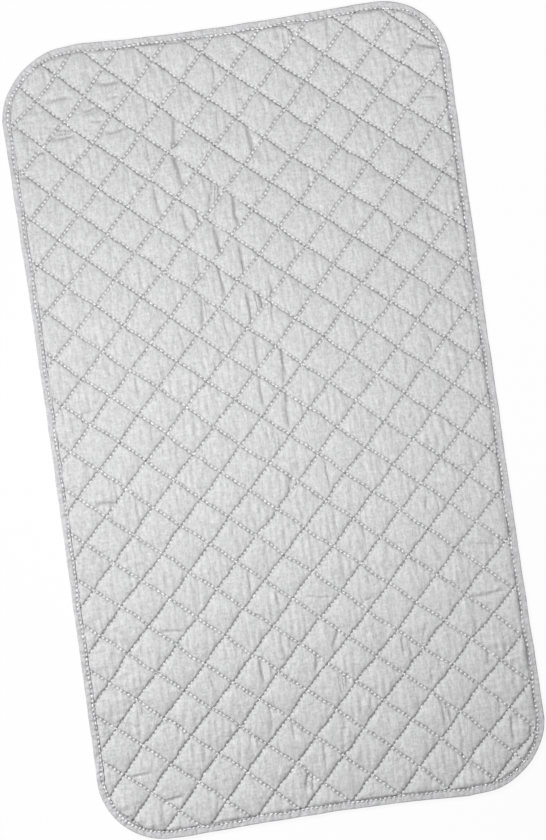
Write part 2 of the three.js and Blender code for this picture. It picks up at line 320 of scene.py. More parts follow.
def lie(x, y):
    """Where points of a true pad come to lie on the soft one."""
    pad, lay = settings("pad"), settings("lay")
    edge_band, edge_hold, draw_lean, pull_aside = 0.06, 0.8, 0.55, 0.4
    side_rest, end_rest, least_free = 0.6, 0.35, 0.25
    across, along = 2 * x / pad.width, 2 * y / pad.length
    round_x = np.maximum(np.abs(x) - pad.width / 2 + lay.draw_across, 0) / lay.draw_across
    round_y = np.maximum(np.abs(y) - pad.length / 2 + lay.draw_along, 0) / lay.draw_along
    draw = lay.corner_draw * (1 - draw_lean * across * along) * 2 * round_x * round_y
    inside = np.clip(outline_depth(x, y) / edge_band, 0, 1)
    pull = lay.corner_pull * np.maximum(-across * along, 0) ** 2 * (1 - edge_hold * inside)
    side = (pull_aside * pull - lay.side_bow * (side_rest - along**2)) * across
    side -= draw * round_x * np.sign(x)
    end = (pull - lay.end_bow * (end_rest - across**2)) * along - lay.take_up * inside * y
    end -= draw * round_y * np.sign(y)
    free = lay.wander * np.maximum(inside, least_free)
    stray_x, stray_y = np.zeros_like(x), np.zeros_like(y)
    for waves, part, seed in ((1, 1.0, 11), (3, 1.0, 13), (8, 0.4, 15)):
        stray_x = stray_x + part * free * ripple(x, y, lay.wander_length / waves, seed)
        stray_y = stray_y + part * free * ripple(x, y, lay.wander_length / waves, seed + 1)
    return x + side + lay.skew * y + stray_x, y + end + lay.skew * x + stray_y


class Lattice:
    """The seams as whole numbers: u counts across family A and v across family B."""

    def __init__(self):
        quilting = settings("quilting")
        self.pitch = quilting.pitch
        self.offsets = np.array([quilting.offset_a, quilting.offset_b])
        angles = np.array([quilting.angle_a, quilting.angle_b])
        self.across = np.stack([-np.sin(angles), np.cos(angles)], -1)
        self.places = np.linalg.inv(self.across)
        self.run = self.pitch / abs(math.sin(angles[0] - angles[1]))
        self.sewn = [self.sewn_range(0), self.sewn_range(1)]

    def place(self, u, v):
        """Where the lattice's point u, v lies on the pad."""
        offsets = np.stack([u, v], -1) * self.pitch + self.offsets
        points = offsets @ self.places.T
        return points[..., 0], points[..., 1]

    def line(self, family, seam, walked):
        """Points along one seam, at distances from where the other family's first seam crosses it."""
        other = walked / self.run
        seam = np.full_like(other, seam)
        return self.place(seam, other) if family == 0 else self.place(other, seam)

    def sewn_range(self, family):
        """The first and last seam of a family that shows for long enough to be sewn."""
        pad, quilting = settings("pad"), settings("quilting")
        walked = np.arange(-pad.length, pad.length, MILLIMETRE)
        most_seams = 40
        seams = range(-most_seams, most_seams + 1)
        shown = [
            (outline_depth(*self.line(family, seam, walked)) > pad.tape_reach).sum() * MILLIMETRE
            for seam in seams
        ]
        kept = [seam for seam, run in zip(seams, shown) if run >= quilting.shortest]
        return kept[0], kept[-1]

    def seam_distances(self, u, v):
        """Distance of points from the nearest sewn seam of each family."""
        near = [np.clip(np.round(count), *ends) for count, ends in zip((u, v), self.sewn)]
        return np.abs(u - near[0]) * self.pitch, np.abs(v - near[1]) * self.pitch


# Quilted cloth


class ClothGrid:
    """Cloth cut to the pad's shape, with mesh lines along every seam."""

    def __init__(self, lattice, steps):
        pad, quilting = settings("pad"), settings("quilting")
        step = np.arange(steps) / steps
        step = step - quilting.squeeze * np.sin(2 * math.pi * step) / (2 * math.pi)
        cells = math.ceil((pad.length + pad.width) / 2 / quilting.pitch)
        ticks = (np.arange(-cells, cells)[:, None] + step).ravel()
        u, v = np.meshgrid(ticks, ticks, indexing="ij")
        inside = outline_depth(*lattice.place(u, v)) > pad.raw_edge
        whole = inside[:-1, :-1] & inside[1:, :-1] & inside[1:, 1:] & inside[:-1, 1:]
        used = np.zeros_like(inside)
        for rows in (slice(None, -1), slice(1, None)):
            for columns in (slice(None, -1), slice(1, None)):
                used[rows, columns] |= whole
        number = np.zeros(u.shape, int)
        number[used] = np.arange(used.sum())
        self.u, self.v = u[used], v[used]
        self.x, self.y = lattice.place(self.u, self.v)
        corners = number[:-1, :-1], number[:-1, 1:], number[1:, 1:], number[1:, :-1]
        self.faces = np.stack([corner[whole] for corner in corners], -1)

    def relief(self, lattice):
        """How far the cloth has risen from its seams and from the tape: nothing to one."""
        pad, quilting = settings("pad"), settings("quilting")
        from_tape = np.maximum(outline_depth(self.x, self.y) - pad.tape_reach + quilting.tape_groove / 6, 0)
        gaps = np.stack(lattice.seam_distances(self.u, self.v))
        steep = np.prod(1 - np.exp(-gaps / quilting.groove), 0)
        gentle = np.prod(1 - np.exp(-gaps / quilting.swell), 0)
        risen = steep + quilting.swell_share * (gentle - steep)
        return risen * (1 - np.exp(-from_tape / quilting.tape_groove))

    def folds(self):
        """A soft fold down each diamond, dropping to the right: how far it lies below a smooth pillow."""
        cotton = settings("cotton")
        cell_u, cell_v = np.floor(self.u).astype(int), np.floor(self.v).astype(int)
        cells = 97
        luck = np.random.default_rng(cotton.seed).random((4, cells, cells))
        luck = luck[:, cell_u % cells, cell_v % cells]
        run = settings("quilting").pitch / math.sqrt(2)
        along = self.u - cell_u + self.v - cell_v - 1
        aside, slant = 0.5 * (luck[0] - 0.35), 0.3 * (luck[1] - 0.5)
        beside = run * (self.v - cell_v - self.u + cell_u - aside - slant * along)
        drop = 1 / (1 + np.exp(-beside / cotton.fold_width))
        fade = np.exp(-np.maximum(beside, 0) / (6 * cotton.fold_width))
        depth = cotton.fold * np.clip(1.5 * luck[2] - 0.25, 0, 1)
        return depth * drop * fade * np.clip(2 - 2.2 * np.abs(along), 0, 1)


def creases(x, y):
    """How far to the low side of the nearest fold points lie, and how deep it is there."""
    cotton = settings("cotton")
    swing, swing_phase, end_taper, past_ends = 0.0010, 900, 5.5, 0.7
    least_width, width_per_depth = 0.5, 750
    beside = np.full_like(x, cotton.crease_reach)
    depth = np.zeros_like(x)
    nearest = np.full_like(x, 2)
    for fold in CREASES:
        first_x, first_y, last_x, last_y, deep = (value * MILLIMETRE for value in fold)
        run = math.hypot(last_x - first_x, last_y - first_y)
        way_x, way_y = (last_x - first_x) / run, (last_y - first_y) / run
        along = ((x - first_x) * way_x + (y - first_y) * way_y) / run
        gap = (y - first_y) * way_x - (x - first_x) * way_y
        gap = gap - swing * np.sin(math.pi * along + first_x * swing_phase)
        gap = gap / (least_width + width_per_depth * deep)
        reached = np.maximum(gap / cotton.crease_reach, -gap / cotton.crease_lead)
        taper = np.clip(end_taper * along * (1 - along), 0, 1) * np.clip(3 - 3 * reached, 0, 1)
        nearer = (np.abs(along - 0.5) < past_ends) & (reached < nearest)
        nearest[nearer] = reached[nearer]
        beside[nearer] = gap[nearer]
        depth[nearer] = (deep * taper)[nearer]
    return beside, depth


def crease_dent(beside, depth):
    """How far the cloth drops beside a fold: a steep wall, and a gentle rise after it."""
    half = settings("cotton").crease
    step = np.clip((beside / half + 1) / 2, 0, 1)
    return depth * step * step * (3 - 2 * step) * np.exp(-np.maximum(beside - half, 0) / (4 * half))


def wrinkles(x, y):
    """Wrinkles that run lengthwise through the slack cloth."""
    wide, long, patch = 0.009, 0.035, 0.09
    patchy = np.clip(0.75 + 0.5 * ripple(x, y, patch, 23), 0.15, 1.6)
    return patchy * ripple(x / wide, y / long, 1, 21, 24)


def gathers(x, y):
    """Ripples that run crosswise, where the tape gathers the cloth along the sides."""
    wide, long, patch, starts, grows = 0.030, 0.007, 0.09, 0.090, 0.045
    edge = np.clip((np.abs(x) - settings("pad").width / 2 + starts) / grows, 0, 1)
    patchy = np.clip(0.3 + ripple(x, y, patch, 23), 0, 1)
    return edge * patchy * ripple(x / wide, y / long, 1, 22, 24)


def settle(grid, level, rise):
    """Lets slack cloth settle between its seams over the batting, and returns its points at rest."""
    cotton = settings("cotton")
    fuzz, drawn_in_by, most_share, still = 0.0001, 0.6, 0.5, 1e-9
    sewn = np.stack([grid.x, grid.y, level + rise], -1)
    held = np.abs(rise) < still
    slack = sewn * [1 + cotton.slack_across, 1 + cotton.slack_along, 1]
    shake = np.random.default_rng(cotton.seed).normal(0, fuzz, len(slack))
    shake += cotton.wrinkle * wrinkles(grid.x, grid.y)
    slack[:, 2] += shake * rise / np.abs(rise).max()

    mesh = bpy.data.meshes.new("slack_cloth")
    mesh.from_pydata(slack, [], grid.faces)
    cloth = bpy.data.objects.new("slack_cloth", mesh)
    scene = bpy.context.scene
    scene.collection.objects.link(cloth)
    cloth.shape_key_add(name="slack")
    key = cloth.shape_key_add(name="sewn")
    key.data.foreach_set("co", sewn.ravel())
    key.value = 0
    key.keyframe_insert("value", frame=1)
    key.value = 1
    key.keyframe_insert("value", frame=round(cotton.frames * drawn_in_by))

    group = cloth.vertex_groups.new(name="held")
    group.add(np.flatnonzero(held).tolist(), 1.0, "REPLACE")
    group.add(np.flatnonzero(~held).tolist(), cotton.hold, "REPLACE")
    modifier = cloth.modifiers.new("Cloth", "CLOTH")
    modifier.point_cache.frame_start = 1
    modifier.point_cache.frame_end = cotton.frames
    modifier.collision_settings.use_collision = False
    weave = modifier.settings
    weave.quality = 4
    weave.mass = 0.002
    weave.tension_stiffness = weave.compression_stiffness = cotton.stiffness
    weave.shear_stiffness = 0.4 * cotton.stiffness
    weave.bending_stiffness = cotton.bending
    weave.tension_damping = weave.compression_damping = weave.shear_damping = 2
    weave.bending_damping = 0.2
    weave.air_damping = 2
    weave.vertex_group_mass = group.name
    weave.pin_stiffness = 0.6
    weave.use_pressure = True
    weave.uniform_pressure_force = math.copysign(cotton.pressure, rise.sum())
    weave.effector_weights.gravity = 0
    for number in range(1, cotton.frames + 1):
        scene.frame_set(number)

    depsgraph = bpy.context.evaluated_depsgraph_get()
    settled = bpy.data.meshes.new_from_object(cloth.evaluated_get(depsgraph))
    points = np.empty(len(slack) * 3)
    settled.vertices.foreach_get("co", points)
    action = mesh.shape_keys.animation_data.action
    bpy.data.objects.remove(cloth)
    bpy.data.meshes.remove(mesh)
    bpy.data.meshes.remove(settled)
    bpy.data.actions.remove(action)
    scene.frame_set(1)
    most = most_share * np.abs(rise).max()
    return sewn + np.clip(points.reshape(-1, 3) - sewn, -most, most)


def quilted_layer(name, grid, points, core, material, **marks):
    """One closed, padded layer: its quilted side, and a plain inner side at the core."""
    x, y = lie(points[:, 0], points[:, 1])
    mesh = bpy.data.meshes.new(name)
    mesh.from_pydata(np.stack([x, y, points[:, 2]], -1), [], grid.faces)
    map_points(mesh, "seams", grid.u, grid.v)
    for mark, values in marks.items():
        map_points(mesh, mark, *values)

    body = bmesh.new()
    body.from_mesh(mesh)
    rim = [edge for edge in body.edges if edge.is_boundary]
    wall = bmesh.ops.extrude_edge_only(body, edges=rim)["geom"]
    for point in wall:
        if isinstance(point, bmesh.types.BMVert):
            point.co.z = core
    inner = [edge for edge in wall if isinstance(edge, bmesh.types.BMEdge) and edge.is_boundary]
    floor = bmesh.ops.edgeloop_fill(body, edges=inner)["faces"]
    bmesh.ops.triangulate(body, faces=floor)
    bmesh.ops.recalc_face_normals(body, faces=body.faces)
    for face in body.faces:
        face.smooth = True
    body.to_mesh(mesh)
    body.free()
    mesh.materials.append(material)
    return new_piece(name, mesh)


def map_points(mesh, name, u, v):
    """Gives every point its place among the seams, the folds or beside the tape, for its material."""
    corners = np.empty(len(mesh.loops), int)
    mesh.loops.foreach_get("vertex_index", corners)
    mesh.uv_layers.new(name=name).uv.foreach_set("vector", np.stack([u, v], -1)[corners].ravel())


def new_piece(name, mesh):
    piece = bpy.data.objects.new(name, mesh)
    bpy.context.scene.collection.objects.link(piece)
    return piece


# Materials


class Nodes:
    """Writes the nodes of one tree."""

    def __init__(self, tree):
        self.tree = tree

    def add(self, kind, *inputs, **named):
        """A node with its inputs set or linked, in order or by name."""
        node = self.tree.nodes.new(kind)
        for name, value in [*enumerate(inputs), *named.items()]:
            self.feed(node.inputs[name], value)
        return node

    def feed(self, socket, value):
        if isinstance(value, bpy.types.NodeSocket):
            self.tree.links.new(value, socket)
        elif value is not None:
            socket.default_value = value

    def math(self, operation, *values):
        node = self.tree.nodes.new("ShaderNodeMath")
        node.operation = operation
        for socket, value in zip(node.inputs, values):
            self.feed(socket, value)
        return node.outputs[0]

    def scaled(self, vector, factors):
        node = self.tree.nodes.new("ShaderNodeVectorMath")
        node.operation = "MULTIPLY"
        self.feed(node.inputs[0], vector)
        self.feed(node.inputs[1], factors)
        return node.outputs[0]

    def shaded(self, base, shade):
        """A colour made lighter or darker."""
        node = self.add("ShaderNodeVectorMath", (*base,))
        node.operation = "SCALE"
        self.feed(node.inputs["Scale"], shade)
        return node.outputs[0]

    def mapped(self, name):
        """The two values of one of the piece's own maps."""
        place = self.tree.nodes.new("ShaderNodeUVMap")
        place.uv_map = name
        return self.add("ShaderNodeSeparateXYZ", place.outputs[0]).outputs[:2]

    def noise(self, vector, scale, detail=2.0):
        return self.add("ShaderNodeTexNoise", Vector=vector, Scale=scale, Detail=detail).outputs[0]

    def ramp(self, value, low, high, to_low=0.0, to_high=1.0):
        node = self.add("ShaderNodeMapRange", value, low, high, to_low, to_high)
        node.interpolation_type = "SMOOTHSTEP"
        return node.outputs[0]


def node_group(name, inputs, outputs):
    """A new shader node group with named sockets."""
    group = bpy.data.node_groups.new(name, "ShaderNodeTree")
    for kind, sockets in (("INPUT", inputs), ("OUTPUT", outputs)):
        for label, socket in sockets.items():
            group.interface.new_socket(label, in_out=kind, socket_type="NodeSocket" + socket)
    given = group.nodes.new("NodeGroupInput").outputs
    result = group.nodes.new("NodeGroupOutput").inputs
    return group, Nodes(group), given, result


def woven_cloth_group(name):
    """Plain weave of uneven yarn: its shade, and its height in millimetres."""
    group, nodes, given, result = node_group(
        name, {"Vector": "Vector", "Yarn": "Float"}, {"Shade": "Float", "Height": "Float"}
    )
    place = given["Vector"]
    split = nodes.add("ShaderNodeSeparateXYZ", place).outputs
    turn = nodes.math("DIVIDE", math.pi, given["Yarn"])
    warp = nodes.math("SINE", nodes.math("MULTIPLY", split[0], turn))
    weft = nodes.math("SINE", nodes.math("MULTIPLY", split[1], turn))
    weave = nodes.math("MULTIPLY", warp, weft)
    warp_grain, weft_grain, mottle_grain, cloud_grain = (620, 110, 60), (120, 560, 60), 420.0, 14.0
    warp_yarn = nodes.noise(nodes.scaled(place, warp_grain), 1.0, 3.0)
    weft_yarn = nodes.noise(nodes.scaled(place, weft_grain), 1.0, 3.0)
    mottle = nodes.noise(place, mottle_grain, 3.0)
    cloud = nodes.noise(place, cloud_grain, 2.0)
    shade = nodes.math("MULTIPLY_ADD", warp_yarn, 0.50, 0.29)
    shade = nodes.math("MULTIPLY_ADD", weft_yarn, 0.30, shade)
    shade = nodes.math("MULTIPLY_ADD", mottle, 0.58, shade)
    shade = nodes.math("MULTIPLY_ADD", cloud, 0.06, shade)
    nodes.feed(result["Shade"], nodes.math("MULTIPLY_ADD", weave, 0.02, shade))
    height = nodes.math("MULTIPLY_ADD", weave, 0.02, nodes.math("MULTIPLY", warp_yarn, 0.25))
    height = nodes.math("MULTIPLY_ADD", weft_yarn, 0.20, height)
    nodes.feed(result["Height"], nodes.math("MULTIPLY_ADD", mottle, 0.40, height))
    return group


def fine_wrinkles_group(name):
    """Thin wrinkles and soft unevenness, too fine for the mesh: their height in millimetres."""
    group, nodes, given, result = node_group(name, {"Vector": "Vector"}, {"Height": "Float"})
    place = given["Vector"]
    soft_grain, patch_grain, lengthwise, crosswise = (150, 75, 10), (30, 22, 10), (120, 40, 10), (40, 110, 10)
    height = nodes.math("MULTIPLY", nodes.noise(nodes.scaled(place, soft_grain), 1.0, 3.0), 0.75)
    for stretch, sharp, deep in ((lengthwise, 18.0, -0.34), (crosswise, 20.0, -0.25)):
        field = nodes.noise(nodes.scaled(place, stretch), 1.0, 1.5)
        line = nodes.math("ABSOLUTE", nodes.math("SUBTRACT", field, 0.5))
        fold = nodes.math("EXPONENT", nodes.math("MULTIPLY", line, -sharp))
        patch = nodes.ramp(nodes.noise(nodes.scaled(place, patch_grain), 1.0, 1.0), 0.45, 0.65)
        height = nodes.math("MULTIPLY_ADD", nodes.math("MULTIPLY", fold, patch), deep, height)
    nodes.feed(result["Height"], height)
    return group


def stitch_holes_group(name):
    """Painted shade at the needle holes and along both flanks of a seam, and the height of the pinched groove
    in millimetres.
    """
    group, nodes, given, result = node_group(
        name,
        {"Vector": "Vector", "Across": "Float", "Along": "Float"},
        {"Seam shade": "Float", "Height": "Float"},
    )
    across = given["Across"]
    uneven_grain, hole_edge, hole_end, groove_width, pucker_end = 70.0, 0.0007, 0.0017, 0.0007, 0.0045
    flank_full, flank_end = 0.0014, 0.0026
    uneven = nodes.noise(given["Vector"], uneven_grain, 2.0)
    stray = nodes.math("MULTIPLY", nodes.math("SUBTRACT", uneven, 0.5), 0.5)
    along = nodes.math("ADD", stray, given["Along"])
    from_hole = nodes.math("PINGPONG", along, 0.5)
    # Painted shade at each needle hole, where the hole lies in shade
    pinch = nodes.ramp(across, hole_edge, hole_end, 1.0, 0.0)
    hole = nodes.math("MULTIPLY", nodes.ramp(from_hole, 0.10, 0.26, 1.0, 0.0), pinch)
    # Painted shade in the crevices along both flanks of the thread
    flank_rise = nodes.ramp(across, hole_edge, flank_full)
    flank_shade = nodes.math("MULTIPLY", flank_rise, nodes.ramp(across, hole_end, flank_end, 0.48, 0.0))
    dimple = nodes.math("MULTIPLY", hole, 0.18)
    hole = nodes.math("MAXIMUM", hole, flank_shade)
    # The painted shade is stronger in some places than in others
    nodes.feed(result["Seam shade"], nodes.math("MULTIPLY", hole, nodes.ramp(uneven, 0.3, 0.7, 0.42, 0.88)))
    swell = nodes.math("COSINE", nodes.math("MULTIPLY", along, 2 * math.pi))
    pucker = nodes.math("MULTIPLY", swell, nodes.ramp(across, 0.0, pucker_end, 0.15, 0.0))
    groove = nodes.math("EXPONENT", nodes.math("MULTIPLY", across, -1 / groove_width))
    nodes.feed(result["Height"], nodes.math("ADD", nodes.math("MULTIPLY_ADD", groove, 0.62, pucker), dimple))
    return group


def crease_group(name):
    """The sharp line of a fold, from the distance beside it and its depth: its height in millimetres."""
    group, nodes, given, result = node_group(
        name, {"Beside": "Float", "Depth": "Float"}, {"Height": "Float"}
    )
    half_wall, rise_end = 0.0013, 0.0041
    wall = nodes.ramp(given["Beside"], -half_wall, half_wall)
    rise = nodes.ramp(given["Beside"], half_wall, rise_end, 1.0, 0.0)
    deep = nodes.math("MULTIPLY", given["Depth"], -0.85 / MILLIMETRE)
    nodes.feed(result["Height"], nodes.math("MULTIPLY", nodes.math("MULTIPLY", wall, rise), deep))
    return group


def use_group(nodes, name, build, **inputs):
    """The outputs of a node group, which is built once and then shared."""
    node = nodes.tree.nodes.new("ShaderNodeGroup")
    node.node_tree = bpy.data.node_groups.get(name) or build(name)
    for label, value in inputs.items():
        nodes.feed(node.inputs[label], value)
    return node.outputs


def new_material(name):
    """A new material, its nodes and its principled shader."""
    material = bpy.data.materials.new(name)
    material.use_nodes = True
    nodes = Nodes(material.node_tree)
    return material, nodes, material.node_tree.nodes["Principled BSDF"]


def quilt_rows(nodes, u, v):
    """Distances across and stitches along both families of seams."""
    pitch, stitches = settings("quilting").pitch, Lattice().run / settings("quilting").stitch
    rows = []
    for across, along in ((u, v), (v, u)):
        gap = nodes.math("MULTIPLY", nodes.math("PINGPONG", across, 0.5), pitch)
        rows.append((gap, nodes.math("MULTIPLY", along, stitches)))
    return rows


def tape_row(nodes, u, v):
    """Distance across and stitches along the binding's seam."""
    return [(nodes.math("ABSOLUTE", u), v)]


def cloth_material(name, base, yarn, rows, creased=False):
    """Woven cotton in one colour, with painted shade at the needle holes, along its rows of stitches and, on
    the face, in the crevice beside the tape.
    """
    finish = settings("finish")
    material, nodes, shader = new_material(name)
    place = nodes.add("ShaderNodeTexCoord").outputs["Object"]
    weave = use_group(nodes, "Woven cloth", woven_cloth_group, Vector=place, Yarn=yarn)
    fine = use_group(nodes, "Fine wrinkles", fine_wrinkles_group, Vector=place)
    shade = weave["Shade"]
    height = nodes.math("ADD", weave["Height"], fine["Height"])
    for across, along in rows(nodes, *nodes.mapped("seams")):
        seam = {"Vector": place, "Across": across, "Along": along}
        sewing = use_group(nodes, "Stitch holes", stitch_holes_group, **seam)
        # Painted shade darkens the cloth at the needle holes and beside the seams
        painted_seam_shade = nodes.math("MULTIPLY", sewing["Seam shade"], 1 - finish.hole)
        shade = nodes.math("MULTIPLY", shade, nodes.math("SUBTRACT", 1.0, painted_seam_shade))
        height = nodes.math("SUBTRACT", height, sewing["Height"])
    if creased:
        beside, depth = nodes.mapped("creases")
        fold = use_group(nodes, "Crease", crease_group, Beside=beside, Depth=depth)
        height = nodes.math("ADD", height, fold["Height"])
        tuck_width = 0.0010
        tuck = nodes.math("EXPONENT", nodes.math("MULTIPLY", nodes.mapped("tape")[0], -1 / tuck_width))
        height = nodes.math("MULTIPLY_ADD", tuck, -0.4, height)
        # Painted shade in the crevice where the cloth tucks under the tape
        shade = nodes.math("MULTIPLY", shade, nodes.math("MULTIPLY_ADD", tuck, -0.10, 1.0))
    nodes.feed(shader.inputs["Base Color"], nodes.shaded(base, shade))
    nodes.feed(shader.inputs["Roughness"], nodes.ramp(shade, 0.8, 1.2, 0.78, 0.62))
    shader.inputs["Sheen Weight"].default_value = 0.12
    shader.inputs["Specular IOR Level"].default_value = 0.35
    bump = nodes.add("ShaderNodeBump", Height=height, Distance=MILLIMETRE, Strength=1.0)
    nodes.feed(shader.inputs["Normal"], bump.outputs[0])
    return material


def thread_material(name, base):
    """Twisted sewing thread."""
    material, nodes, shader = new_material(name)
    place = nodes.add("ShaderNodeTexCoord").outputs["Object"]
    twist_grain = (2500, 2500, 900)
    twist = nodes.noise(nodes.scaled(place, twist_grain), 1.0, 2.0)
    nodes.feed(shader.inputs["Base Color"], nodes.shaded(base, nodes.ramp(twist, 0.2, 0.8, 0.85, 1.1)))
    nodes.feed(shader.inputs["Roughness"], nodes.ramp(twist, 0.2, 0.8, 0.6, 0.42))
    bump = nodes.add("ShaderNodeBump", Height=twist, Distance=0.0001, Strength=0.6)
    nodes.feed(shader.inputs["Normal"], bump.outputs[0])
    return material


# Stitches


def stitch_tree():
    """Geometry nodes that lay one bowed stitch of thread on every point, along its own direction."""
    tree = bpy.data.node_groups.new("Stitches", "GeometryNodeTree")
    for label, kind in (
        ("Geometry", "Geometry"),
        ("Stitch Length", "Float"),
        ("Thread Width", "Float"),
        ("Bow", "Float"),
        ("Seed", "Int"),
        ("Material", "Material"),
    ):
        tree.interface.new_socket(label, in_out="INPUT", socket_type="NodeSocket" + kind)
    tree.interface.new_socket("Geometry", in_out="OUTPUT", socket_type="NodeSocketGeometry")
    nodes = Nodes(tree)
    given = tree.nodes.new("NodeGroupInput").outputs

    half = nodes.math("MULTIPLY", given["Stitch Length"], 0.5)
    start = nodes.add("ShaderNodeCombineXYZ", nodes.math("MULTIPLY", half, -1.0)).outputs[0]
    end = nodes.add("ShaderNodeCombineXYZ", half).outputs[0]
    straight = nodes.add("GeometryNodeCurvePrimitiveLine", Start=start, End=end).outputs[0]
    stepped = nodes.add("GeometryNodeResampleCurve", Curve=straight, Count=6).outputs[0]
    position = tree.nodes.new("GeometryNodeInputPosition").outputs[0]
    place = nodes.add("ShaderNodeSeparateXYZ", position).outputs[0]
    reach = nodes.math("POWER", nodes.math("ABSOLUTE", nodes.math("DIVIDE", place, half)), 2.5)
    dip = nodes.math("MULTIPLY", reach, nodes.math("MULTIPLY", given["Bow"], -1.0))
    dip = nodes.add("ShaderNodeCombineXYZ", 0.0, 0.0, dip).outputs[0]
    bowed = nodes.add("GeometryNodeSetPosition", Geometry=stepped, Offset=dip).outputs[0]
    taper = nodes.math("MULTIPLY_ADD", reach, -0.45, 1.0)
    tapered = nodes.add("GeometryNodeSetCurveRadius", Curve=bowed, Radius=taper).outputs[0]
    radius = nodes.math("MULTIPLY", given["Thread Width"], 0.5)
    section = nodes.add("GeometryNodeCurvePrimitiveCircle", Resolution=6, Radius=radius).outputs[0]
    strand = tree.nodes.new("GeometryNodeCurveToMesh")
    nodes.feed(strand.inputs["Curve"], tapered)
    nodes.feed(strand.inputs["Profile Curve"], section)
    if "Scale" in strand.inputs:
        nodes.feed(strand.inputs["Scale"], taper)
    strand.inputs["Fill Caps"].default_value = True

    along = tree.nodes.new("GeometryNodeInputNamedAttribute")
    along.data_type = "FLOAT_VECTOR"
    along.inputs["Name"].default_value = "along"
    facing = tree.nodes.new("FunctionNodeAlignRotationToVector")
    facing.axis = "X"
    facing.pivot_axis = "Z"
    nodes.feed(facing.inputs["Vector"], along.outputs[0])
    vary = tree.nodes.new("FunctionNodeRandomValue")
    vary.data_type = "FLOAT_VECTOR"
    smallest, largest = (0.30, 0.36, 0.42), (0.80, 1.22, 1.15)
    vary.inputs["Min"].default_value = smallest
    vary.inputs["Max"].default_value = largest
    nodes.feed(vary.inputs["Seed"], given["Seed"])
    laid = nodes.add(
        "GeometryNodeInstanceOnPoints",
        Points=given["Geometry"],
        Instance=strand.outputs[0],
        Rotation=facing.outputs[0],
        Scale=vary.outputs[0],
    ).outputs[0]
    real = nodes.add("GeometryNodeRealizeInstances", laid).outputs[0]
    smooth = nodes.add("GeometryNodeSetShadeSmooth", real).outputs[0]
    dressed = nodes.add("GeometryNodeSetMaterial", Geometry=smooth, Material=given["Material"]).outputs[0]
    nodes.feed(tree.nodes.new("NodeGroupOutput").inputs[0], dressed)
    return tree


def sew_stitches(name, centres, along, material, kind, seed):
    """A piece made of one stitch at every centre, of a kind that is a width and a bow."""
    mesh = bpy.data.meshes.new(name)
    mesh.from_pydata(centres, [], [])
    mesh.attributes.new("along", "FLOAT_VECTOR", "POINT").data.foreach_set("vector", along.ravel())
    row = new_piece(name, mesh)
    tree = bpy.data.node_groups.get("Stitches") or stitch_tree()
    modifier = row.modifiers.new("Stitches", "NODES")
    modifier.node_group = tree
    width, bow = kind
    values = {
        "Stitch Length": settings("quilting").stitch,
        "Thread Width": width,
        "Bow": bow,
        "Seed": seed,
        "Material": material,
    }
    for item in tree.interface.items_tree:
        if item.name in values:
            modifier[item.identifier] = values[item.name]
    depsgraph = bpy.context.evaluated_depsgraph_get()
    sewn = bpy.data.meshes.new_from_object(row.evaluated_get(depsgraph))
    row.modifiers.clear()
    row.data = sewn
    bpy.data.meshes.remove(mesh)
    sewn.name = name
    return row


def seam_stitches(lattice, family):
    """Middles and directions of every stitch in one family of seams, on the plan of the pad."""
    pad, quilting = settings("pad"), settings("quilting")
    reach = math.ceil(pad.length / quilting.stitch)
    middles = (np.arange(-reach, reach) + 0.5) * quilting.stitch
    first, last = lattice.sewn[family]
    rows = []
    half = quilting.stitch / 2
    for seam in range(first, last + 1):
        shown = outline_depth(*lattice.line(family, seam, middles)) > pad.tape_reach - half
        ends = [lattice.line(family, seam, middles[shown] + way) for way in (-half, half)]
        rows.append(np.stack([np.stack(lie(*end), -1) for end in ends]))
    start, end = np.concatenate(rows, 1)
    return (start + end) / 2, end - start


def tape_seam_line(place):
    """How far in the binding's seam, which strays a little, lies from each place on the outline."""
    stray, wavelength, bias, most_out, most_in = 0.0007, 0.05, -0.0002, -0.0016, 0.0006
    stray = stray * ripple(place[:, 0], place[:, 1], wavelength, 34) + bias
    return (settings("pad").tape_seam + np.clip(stray, most_out, most_in))[:, None]


def in_space(plan, height):
    return np.column_stack([plan, np.full(len(plan), height)])


# Operators


class IRONINGPAD_OT_face(bpy.types.Operator):
    """Sew the quilted face over its batting"""

    bl_idname = "ironing_pad.face"
    bl_label = "Quilted face"

    def execute(self, context):
        pad, quilting, finish = settings("pad"), settings("quilting"), settings("finish")
        lattice = Lattice()
        grid = ClothGrid(lattice, quilting.steps)
        relief = grid.relief(lattice)
        points = settle(grid, pad.seam_level, pad.crown * relief)
        beside, depth = creases(grid.x, grid.y)
        depth *= np.minimum(3 * relief, 1)
        points[:, 2] -= crease_dent(beside, depth) + grid.folds() * np.minimum(2 * relief, 1)
        points[:, 2] += settings("cotton").gather * gathers(grid.x, grid.y) * np.minimum(2 * relief, 1)
        cotton = cloth_material("Silver-grey cotton", finish.face, 0.00045, quilt_rows, creased=True)
        from_tape = outline_depth(grid.x, grid.y) - pad.tape_reach
        face = quilted_layer(
            "quilted_face",
            grid,
            points,
            pad.core_level,
            cotton,
            creases=(beside, depth),
            tape=(from_tape, from_tape),
        )
        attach(face, "root")
        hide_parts("face_cloth", "batting")
        return {"FINISHED"}


class IRONINGPAD_OT_backing(bpy.types.Operator):
    """Sew the backing cloth under the batting"""

    bl_idname = "ironing_pad.backing"
    bl_label = "Backing cloth"

    def execute(self, context):
        pad, quilting, finish = settings("pad"), settings("quilting"), settings("finish")
        lattice = Lattice()
        grid = ClothGrid(lattice, quilting.steps // 2)
        grid.faces = grid.faces[:, ::-1]
        rise = -pad.backing_seam * grid.relief(lattice)
        points = np.stack([grid.x, grid.y, pad.backing_seam + rise], -1)
        cotton = cloth_material("Pale grey cotton", finish.backing, 0.0006, quilt_rows)
        backing = quilted_layer("backing", grid, points, pad.core_level, cotton)
        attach(backing, "root")
        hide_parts("backing_cloth")
        return {"FINISHED"}


